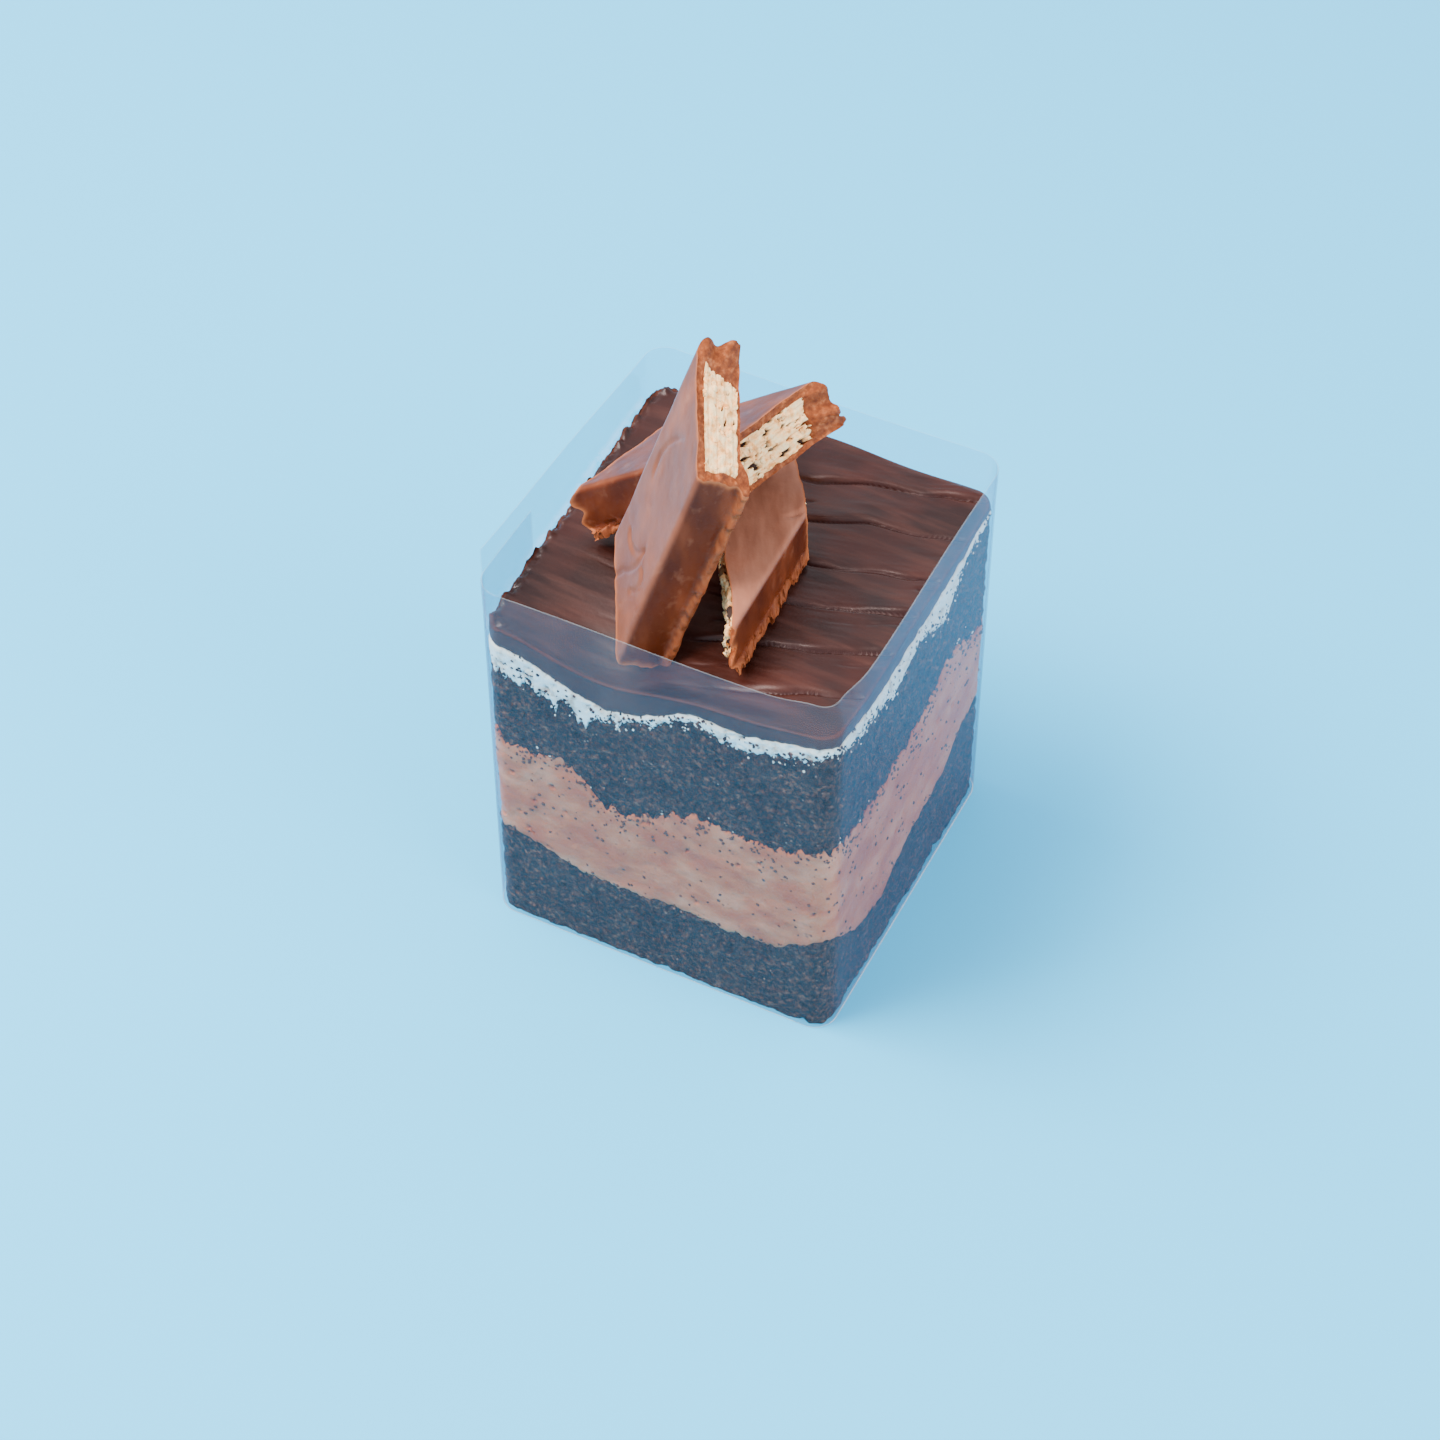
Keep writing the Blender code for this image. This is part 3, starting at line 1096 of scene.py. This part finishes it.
@dataclass
class FilmCollar:
    """One strip of clear film, once round the cake and lapped on the left, its outer end climbing askew."""

    side: float = 63.5
    height: float = 77.0
    film: float = 0.3
    gap: float = 0.3
    corner: float = 4.0
    lap: float = 15.0
    rise: float = 4.5
    free_inset: float = 1.25  # how far the front right corner is pulled in at the rim
    pull_reach: float = 5.0   # how far along the sides that shows
    held: float = 70.5        # the cake holds the film straight up to here
    wave: float = 0.12        # how far the free rim sways
    sheet: float = 0.7        # the film that is drawn, as a share of the solid's
    corner_steps: int = 14
    side_steps: int = 36
    rows: int = 40

    def route(self) -> list[tuple[Vector, Vector, float]]:
        """Walk along the film from its inner end to its outer end.

        Returns:
            For each step the spot on its middle line, the outward direction and the pull at the rim.
        """
        half = (self.side - self.film) / 2
        inner = half - self.film - self.gap
        flat = half - self.corner
        left = Vector((-1, 0))
        found = [(Vector((-inner, -flat + self.lap * (1 - step / 9))), left, 0.0) for step in range(9)]
        corners = ((-1, -1, inner, half), (1, -1, half, half), (1, 1, half, half), (-1, 1, half, half))
        for number, (sign_x, sign_y, reach_x, reach_y) in enumerate(corners):
            pull = self.free_inset if number == 1 else 0.0
            centre = Vector((sign_x * (reach_x - self.corner), sign_y * (reach_y - self.corner)))
            for step in range(self.corner_steps + 1):
                share = step / self.corner_steps
                angle = radians(180) + radians(90) * (number + share)
                out = Vector((cos(angle), sin(angle)))
                found.append((centre + self.corner * out, out, pull))
            start = found[-1][0]
            end = Vector((-half, -flat))
            if number < 3:
                sign_x, sign_y, reach_x, reach_y = corners[number + 1]
                end = Vector((sign_x * (reach_x - self.corner), sign_y * (reach_y - self.corner)))
                end += self.corner * out
            for step in range(1, self.side_steps + (number == 3)):
                share = step / self.side_steps
                away = {0: 1 - share, 1: share}.get(number, 1.0) * 63 / self.pull_reach
                found.append((start.lerp(end, share), out, self.free_inset * exp(-(away**2))))
        return found

    def build(self) -> bpy.types.Object:
        """Make the film and let it stand for its node.

        Returns:
            The film.
        """
        route = self.route()
        lengths = [0.0]
        for (first, _, _), (second, _, _) in zip(route, route[1:]):
            lengths.append(lengths[-1] + (second - first).length)
        climb_from = lengths[-1] - self.side
        shape = Shape()
        rings = []
        for row in range(self.rows + 1):
            share = row / self.rows
            outer, inner = [], []
            for (spot, out, pull), length in zip(route, lengths):
                rim = self.height + self.rise * max(0.0, (length - climb_from) / self.side)
                z = rim * share
                free = ease((z - self.held) / (self.height - self.held))
                move = -pull * free + self.wave * free * sin(length / 7.0)
                middle = spot + out * move
                for side, ring in ((1, outer), (-1, inner)):
                    edge = middle + out * side * self.film * self.sheet / 2
                    ring.append(Vector((edge.x, edge.y, z)))
            rings.append((shape.ring(outer), shape.ring(inner)))
        for (outer_low, inner_low), (outer_high, inner_high) in zip(rings, rings[1:]):
            shape.band(outer_low, outer_high, closed=False)
            shape.band(inner_low, inner_high, closed=False)
            for end in (0, -1):
                shape.faces.append((outer_low[end], inner_low[end], inner_high[end], outer_high[end]))
                shape.slots.append(1)
        for outer, inner in (rings[0], rings[-1]):
            shape.band(outer, inner, slot=1, closed=False)
        return shape.build("film_collar_look", [ClearFilm(), FilmEdge()], "film",
                           replaces="film_collar", smooth=50)


# The wafer bars


def resample(corners: Section, count: int) -> Section:
    """Spread points evenly along a closed section.

    Args:
        corners: The section's corners, from under its middle.
        count: How many points to spread.

    Returns:
        The points.
    """
    loop = corners + [corners[0]]
    lengths = [hypot(b[0] - a[0], b[1] - a[1]) for a, b in zip(loop, loop[1:])]
    total = sum(lengths)
    found, walked, number = [], 0.0, 0
    for step in range(count):
        target = total * step / count
        while walked + lengths[number] < target - 1e-9:
            walked += lengths[number]
            number += 1
        share = (target - walked) / lengths[number]
        a, b = loop[number], loop[number + 1]
        found.append((a[0] + (b[0] - a[0]) * share, a[1] + (b[1] - a[1]) * share))
    return found


@dataclass(frozen=True)
class Crease:
    """A shallow curved mark in a bar's top: an arc about a centre on the bar."""

    x: float
    y: float
    radius: float
    start: float
    end: float
    depth: float = 0.32
    width: float = 0.42

    def sink(self, x: float, y: float) -> float:
        """Find how deep the mark is.

        Args:
            x: The spot's place along the bar, in millimetres.
            y: The same, across it.

        Returns:
            The depth in millimetres.
        """
        away = hypot(x - self.x, y - self.y)
        angle = (atan2(y - self.y, x - self.x) * 180 / pi - self.start) % 360
        span = (self.end - self.start) % 360
        taper = ease(angle / 25) * ease((span - angle) / 25) if angle < span else 0.0
        return self.depth * taper * exp(-(((away - self.radius) / self.width) ** 2))


@dataclass
class WaferBar:
    """A snapped piece of moulded bar: a chocolate coat, with a thin flange at its foot, on wafer sheets."""

    name: str
    foot: tuple[float, float, float]      # middle of its underside
    length: float
    slant: float                          # how far the snapped ends lean along the bar for each mm across it
    turn: tuple[float, float, float]      # roll, pitch and yaw in degrees
    wall_far: float = 1.1                 # coat thickness on the +Y side
    wall_top: float = 1.1
    sunk: float = 0.0                     # how much further the first end goes on, hidden in the ganache
    flange_lumps: float = 0.35
    tip: float = 0.0                      # how far the +Y corner of the second end sticks out
    near_tip: float = 0.0                 # how far the -Y corner of the first end sticks out
    undercut: float = 0.0                 # how far the underside is broken away near the second end
    creases: tuple[Crease, ...] = ()
    seed: float = 0.0
    top: float = 14.8
    base: float = 18.0
    thick: float = 9.0
    wall: float = 1.1
    wall_foot: float = 1.4
    around: int = 170                     # points round the coat
    along: int = 170                      # rings along it
    core_pitch: float = 0.2               # how far apart the points on the wafers' ends are, across
    sheet_pitch: float = 0.16             # and upwards
    sheets: int = 4
    pores: float = 0.6                    # size of the holes in the wafers
    solid: float = 0.3                    # the higher this is, the fewer holes there are
    far_slant: float = 0.0                # how much thicker the coat on the +Y side is at the foot
    dusty: float = 0.0                    # how much painted sheen pales its top, for the sky it mirrors
    loose_bits: bool = False              # whether bits of wafer lie at its first end

    def place(self) -> Matrix:
        """Where the bar lies, in millimetres."""
        roll, pitch, yaw = (radians(angle) for angle in self.turn)
        return Matrix.Translation(self.foot) @ Euler((roll, -pitch, yaw)).to_matrix().to_4x4()

    def outer(self) -> Section:
        """Draw the coat's outside, with its flange at the foot and rounded upper edges.

        Returns:
            The section across the bar, from under its middle.
        """
        wide, narrow = self.base / 2, self.top / 2
        half = [(0.0, 0.0), (wide - 0.4, 0.0), (wide - 0.1, 0.15), (wide, 0.6), (wide - 0.15, 1.05),
                (wide - 0.6, 1.3), (wide - 1.0, 1.55), (wide - 1.2, 2.1)]
        half += [(narrow + 0.15 - 0.9 * (1 - cos(a)), self.thick - 0.9 * (1 - sin(a)))
                 for a in (radians(6 + 14 * step) for step in range(7))]
        half.append((0.0, self.thick))
        return resample(half + [(-y, z) for y, z in reversed(half[1:-1])], self.around)

    def inner(self) -> Section:
        """Draw the wafer's outside.

        Returns:
            The section across the bar, matched point for point to the coat's.
        """
        near, far = -(self.top / 2 - self.wall), self.top / 2 - self.wall_far
        low, high = self.wall_foot, self.thick - self.wall_top
        foot = far + 0.4 - self.far_slant
        return resample([(0.0, low), (foot, low), (far, high), (near, high), (near - 0.4, low)], self.around)

    def ragged(self, y: float, z: float, end: int) -> float:
        """Find how far a snapped end reaches past the clean cut.

        Args:
            y: The spot's place across the bar, in millimetres.
            z: The same, above its foot.
            end: 1 for the second end, -1 for the first.

        Returns:
            The reach in millimetres.
        """
        rough = 0.55 * grain(y, z, self.seed + 9.0 * end, 2.8, 3, 0.8)
        inner = ease((8.6 - abs(y)) / 1.2)
        tongue = self.tip if end > 0 else self.near_tip
        wavy = 0.75 + 0.45 * sin(1.5 * z + self.seed) + 0.5 * grain(z, y, self.seed, 2.6, 2)
        return rough * (0.3 + 0.7 * inner) + tongue * ease((end * y - 3.5) / 3.5) * wavy * inner

    def at(self, x: float, y: float, z: float) -> Vector:
        """Lean a point with the slanted ends, and move it with them where they are ragged.

        Args:
            x: Its place along the bar, in millimetres.
            y: The same, across it.
            z: The same, above its foot.

        Returns:
            The point in the bar's own frame.
        """
        for end in (-1, 1):
            near = ease(1 - abs(x - end * self.length / 2) / 2.5)
            x += end * near * (self.ragged(y, z, end) + (self.sunk if end < 0 else 0.0))
        return Vector((x + self.slant * y, y, z))

    def skin(self, x: float, y: float, z: float) -> tuple[float, float]:
        """Move a point of the coat's outside for its marks, its lumpy flange and its undercut.

        Args:
            x: Its place along the bar, in millimetres.
            y: The same, across it.
            z: The same, above its foot.

        Returns:
            Its new place across the bar and above its foot.
        """
        if z > self.thick - 0.5:
            z -= sum(mark.sink(x + self.slant * y, y) for mark in self.creases)
            z += 0.07 * grain(x, y, self.seed, 6.0, 2)
        if z < 2.2 and abs(y) > self.top / 2:
            lumps = grain(x + self.slant * y, self.seed, abs(y) - y, 2.2, 4)
            reach = self.flange_lumps * ease((abs(y) - self.top / 2) / 1.2)
            y += (1 if y > 0 else -1) * reach * (lumps - 0.3)
            if z > 0.5:
                z = max(0.0, z + 0.5 * reach * grain(x, y + 20, self.seed, 1.1, 3))
        if self.undercut and z < 4.0:
            gone = ease((x - self.length / 2 + 7) / 5) * ease((y + 7.5) / 3)
            z += self.undercut * gone * (1 - z / 4.0)
            y -= gone * max(0.0, y - self.top / 2 - 0.3)
        return y, z + 0.04 * grain(x, y, z + self.seed, 4.0, 2)

    def drawn(self, piece: bpy.types.Object) -> list[Vector]:
        """Find where a finished piece's points were drawn.

        Args:
            piece: The piece.

        Returns:
            The points in the bar's own frame before it was slanted, in metres.
        """
        back = (Matrix.Scale(MM, 4) @ self.place()).inverted()
        spots = [back @ point.co for point in piece.data.vertices]
        return [Vector((spot.x - self.slant * spot.y, spot.y, spot.z)) * MM for spot in spots]

    def build_coat(self) -> bpy.types.Object:
        """Make the coat: outside, snapped rim, inside and the other snapped rim, joined in a loop.

        Returns:
            The coat.
        """
        shape = Shape()
        outer, inner = self.outer(), self.inner()
        half = self.length / 2
        rings, kinds = [], []
        for step in range(self.along + 1):
            x = -half + self.length * (0.5 - 0.5 * cos(pi * step / self.along))
            ring, snapped, dusty = [], [], []
            for y, z in outer:
                new_y, new_z = self.skin(x, y, z)
                ring.append(self.at(x, new_y, new_z))
                end = exp(-(((half - abs(x)) / (0.5 + 0.25 * grain(y, z, self.seed, 1.5))) ** 2))
                flange = ease((abs(y) - self.top / 2 - 0.3) / 0.8) * ease((2.0 - z) / 0.6)
                snapped.append(min(1.0, end + flange * (0.35 + 0.35 * grain(x, y, z, 0.9))))
                # A paler colour on the top face, fading in over its upper edge: painted sheen.
                sheen_share = self.dusty * ease((z - self.thick + 0.9) / 0.8)
                dusty.append(sheen_share * (0.85 + 0.3 * grain(x, y, self.seed, 3.0)))
            rings.append(shape.ring(ring, snapped=snapped, dusty=dusty))
            kinds.append(0)
        for end in (1, -1):
            for share in (0.25, 0.5, 0.75, 1.0):
                ring = []
                for (y, z), (inner_y, inner_z) in zip(outer, inner):
                    y, z = self.skin(end * half, y, z)
                    y, z = y + (inner_y - y) * share, z + (inner_z - z) * share
                    dent = 0.35 * grain(y, z, self.seed + 70 * end, 1.1, 3) * sin(pi * share)
                    ring.append(self.at(end * (half + dent - 0.25 * share), y, z))
                rings.append(shape.ring(ring))
                kinds.append(1)
            if end > 0:
                for x in (half - 2.5, 0.0, 2.5 - half):
                    rings.append(shape.ring([self.at(x, y, z) for y, z in inner]))
                    kinds.append(1)
        # The last rim was drawn from the outside in, so its rings are put in the order of the walk.
        rings = rings[:-4] + rings[-4:][::-1]
        for i, first in enumerate(rings):
            shape.band(first, rings[(i + 1) % len(rings)], slot=max(kinds[i], kinds[(i + 1) % len(rings)]))
        return shape.build(f"{self.name}_coat_look", [MilkChocolate(), BrokenChocolate()], "milk_chocolate",
                           self.place(), f"{self.name}_coat", smooth=55)

    def build_core(self) -> bpy.types.Object:
        """Make the wafers: a block whose two ends show the sheets, the cream between them and their holes.

        Returns:
            The block.
        """
        shape = Shape()
        half = self.length / 2
        near, far = -(self.top / 2 - self.wall) - 0.1, self.top / 2 - self.wall_far + 0.1
        low, high = self.wall_foot - 0.05, self.thick - self.wall_top + 0.05
        across, up = round((far - near) / self.core_pitch), round((high - low) / self.sheet_pitch)
        for end in (-1, 1):
            rows = []
            for j in range(up + 1):
                z = low + (high - low) * j / up
                reach = far - near - self.far_slant * (1 - j / up)
                spots, hollow, filling = [], [], []
                for i in range(across + 1):
                    y = near + reach * i / across
                    sheet = (z - low) / (high - low) * self.sheets + 0.08 * grain(y, z, self.seed, 2.5, 2)
                    cream = ease(1 - abs(sheet % 1.0 - 0.5) / 0.16)
                    hole = ease((grain(y * 0.6, z, self.seed + end * 3, self.pores, 2) - self.solid) / 0.16)
                    flake = 0.35 * grain(y / 2.2, z, self.seed + 11 * end, 0.5, 3)
                    spot = self.at(end * half, y, z)
                    spot.x += end * (-0.2 + flake - 1.3 * hole - 0.15 * cream)
                    spots.append(spot)
                    hollow.append(hole)
                    filling.append(cream)
                rows.append(shape.ring(spots, hollow=hollow, filling=filling))
            for first, second in zip(rows, rows[1:]):
                shape.band(first, second, closed=False)
            right, left = [row[-1] for row in rows[1:-1]], [row[0] for row in rows[-2:0:-1]]
            loop = rows[0] + right + rows[-1][::-1] + left
            if end < 0:
                start = loop
        shape.band(start, loop)
        return shape.build(f"{self.name}_core_look", [Wafer()], "wafer",
                           self.place(), f"{self.name}_core", smooth=80)

    def strew_bits(self, core: bpy.types.Object) -> None:
        """Strew wafer flakes at both ends, and loose bits at the first end where the bar has them.

        Args:
            core: The bar's wafers.
        """
        half = self.length * MM / 2
        spots = self.drawn(core)
        flakes = [float(abs(spot.x) > 0.75 * half) for spot in spots]
        CrumbScatter(f"{self.name}_flakes", Wafer(), "wafer", 26, 0.3, 1.3, flat=0.4, rough=0.6,
                     seed=int(self.seed), detail=2).strew(core, flakes)
        if self.loose_bits:
            low, high = 0.25 * self.thick * MM, 0.8 * self.thick * MM
            tip = [float(spot.x < -0.8 * half and spot.y < 0 and low < spot.z < high) for spot in spots]
            CrumbScatter(f"{self.name}_loose_bits", Wafer(), "wafer", 70, 0.7, 3.0, flat=0.4, rough=0.6,
                         sink=-0.4, seed=4, detail=2).strew(core, tip)


BARS = (
    WaferBar("leaning_wafer", foot=(-1.2, -9.4, 87.9), length=34.0, slant=0.95, turn=(-9.5, 65.3, 56.5),
             wall_far=2.2, wall_top=1.4, wall_foot=2.0, undercut=1.5, tip=1.4, sunk=1.6, dusty=0.23,
             flange_lumps=0.5, solid=0.55, far_slant=2.0, seed=3.0,
             creases=(Crease(-9.0, 3.5, 5.5, 150, 300), Crease(-6.5, 1.0, 3.2, 100, 260),
                      Crease(5.0, -3.0, 7.5, 20, 120), Crease(-12.5, -2.0, 2.6, 180, 350))),
    WaferBar("lying_wafer", foot=(1.8, 2.9, 70.15), length=27.0, slant=1.58, turn=(0.0, 0.0, 92.2),
             near_tip=2.6, dusty=0.6, flange_lumps=0.9, loose_bits=True, seed=17.0,
             creases=(Crease(-5.0, 2.0, 5.0, 60, 200), Crease(3.0, -2.5, 4.5, 200, 330))),
    WaferBar("crossing_wafer", foot=(-5.9, 4.0, 79.9), length=27.8, slant=0.76, turn=(-10.7, 31.6, 12.7),
             wall_far=2.6, wall_top=1.3, wall_foot=0.9, tip=1.2, near_tip=1.8, dusty=0.08,
             flange_lumps=1.3, pores=0.75, solid=0.22, far_slant=1.0, seed=29.0,
             creases=(Crease(-4.0, 0.0, 5.0, 10, 140),)),
)


# Camera, lights and floor


@dataclass
class Studio:
    """A pale floor, a large soft light from the left, a weak fill and the camera."""

    target: Vector = field(default_factory=lambda: Vector((0.0, 0.0, 0.045)))
    camera_place: tuple[float, float, float] = (0.1786, -0.3646, 0.4756)
    azimuth: float = 26.58
    elevation: float = 47.62
    lens: float = 90.0
    floor: float = 6.0        # width of the floor in metres

    def light(self, name: str, place: tuple[float, float, float], size: float, power: float,
              shade: str) -> None:
        """Add a square soft light that points at the cake.

        Args:
            name: The light's name.
            place: Where it hangs, in metres.
            size: Its width in metres.
            power: Its power in watts.
            shade: Its hex colour.
        """
        data = bpy.data.lights.new(name, "AREA")
        data.size = size
        data.energy = power
        data.color = linear(shade)[:3]
        made = bpy.data.objects.new(name, data)
        made.location = place
        made.rotation_euler = (self.target - made.location).to_track_quat("-Z", "Y").to_euler()
        bpy.context.scene.collection.objects.link(made)

    def build(self) -> None:
        """Make the floor, the lights, the sky's soft fill and the camera."""
        edge = self.floor / 2
        floor_mesh = bpy.data.meshes.new("floor")
        floor_mesh.from_pydata([(-edge, -edge, 0), (edge, -edge, 0), (edge, edge, 0), (-edge, edge, 0)],
                               [], [(0, 1, 2, 3)])
        floor_mesh.materials.append(Backdrop().material())
        ground = bpy.data.objects.new("floor", floor_mesh)
        bpy.context.scene.collection.objects.link(ground)
        self.light("key", (-0.42, -0.22, 0.75), 0.55, 23.0, "#FFF2E4")
        self.light("fill", (0.72, -0.08, 0.34), 0.6, 7.0, "#FFF2E6")
        world = bpy.data.worlds.new("soft sky")
        world.use_nodes = True
        join(world.node_tree, world.node_tree.nodes["Background"], {"Color": "#E9F2F8", "Strength": 1.65})
        bpy.context.scene.world = world
        data = bpy.data.cameras.new("camera")
        data.lens = self.lens
        data.sensor_width = 36.0
        made = bpy.data.objects.new("camera", data)
        made.location = self.camera_place
        made.rotation_euler = (radians(90 - self.elevation), 0.0, radians(self.azimuth))
        bpy.context.scene.collection.objects.link(made)
        bpy.context.scene.camera = made


def strew_layers(mousse: bpy.types.Object, cream: bpy.types.Object, sponge: bpy.types.Object) -> None:
    """Strew sponge crumbs over the mousse and the cream, and flecks of cream over the sponge.

    Args:
        mousse: The mousse layer.
        cream: The cream layer.
        sponge: The upper sponge layer.
    """
    near_mousse, near_cream, near_sponge = [], [], []
    for piece, found in ((mousse, near_mousse), (cream, near_cream), (sponge, near_sponge)):
        for point in piece.data.vertices:
            x, y, z = point.co / MM
            levels = border_heights(x, y)
            # Most of them lie near the border they come from.
            if piece is mousse:
                near = exp(-(((levels[2] - z) / 3.0) ** 2)) + 0.08
                near += 0.3 * exp(-(((z - levels[1]) / 1.5) ** 2))
            elif piece is cream:
                near = exp(-(((z - levels[3]) / 1.6) ** 2)) + 0.15
            else:
                near = exp(-(((levels[3] - z) / 1.2) ** 2))
                near += 0.12 * exp(-(((z - levels[2]) / 1.5) ** 2))
            found.append(near if max(abs(x), abs(y)) > SIDE_FROM else 0.0)
    on_mousse = CrumbScatter("crumbs_on_mousse", SoakedCrumb(), "sponge", 90, 0.25, 0.85, flat=0.7)
    on_mousse.strew(mousse, near_mousse)
    on_cream = CrumbScatter("crumbs_on_cream", CocoaSponge(), "sponge", 150, 0.25, 0.8, seed=2)
    on_cream.strew(cream, near_cream)
    CrumbScatter("cream_flecks", Cream(), "cream", 90, 0.2, 0.7, seed=3).strew(sponge, near_sponge)


def main() -> None:
    """Build the cake from the bottom up, then the film, the bars and the studio."""
    logging.basicConfig(level=logging.INFO, format="%(name)s: %(message)s")
    plan = Plan()
    CakeLayer("sponge_bottom", 0, CocoaSponge(), "sponge", Relief.CRUMB, 44).build(plan)
    mousse = CakeLayer("mousse_layer", 1, Mousse(), "mousse", Relief.WHIPPED, 64, shoulder=0.1).build(plan)
    upper = CakeLayer("sponge_top", 2, CocoaSponge(), "sponge", Relief.CRUMB, 56).build(plan)
    cream = CakeLayer("cream_layer", 3, Cream(), "cream", Relief.SMEARED, 14).build(plan)
    GanacheTop().build(plan)
    strew_layers(mousse, cream, upper)
    for bar in BARS:
        bar.build_coat()
        bar.strew_bits(bar.build_core())
    FilmCollar().build()
    Studio().build()


if __name__ == "__main__":
    main()
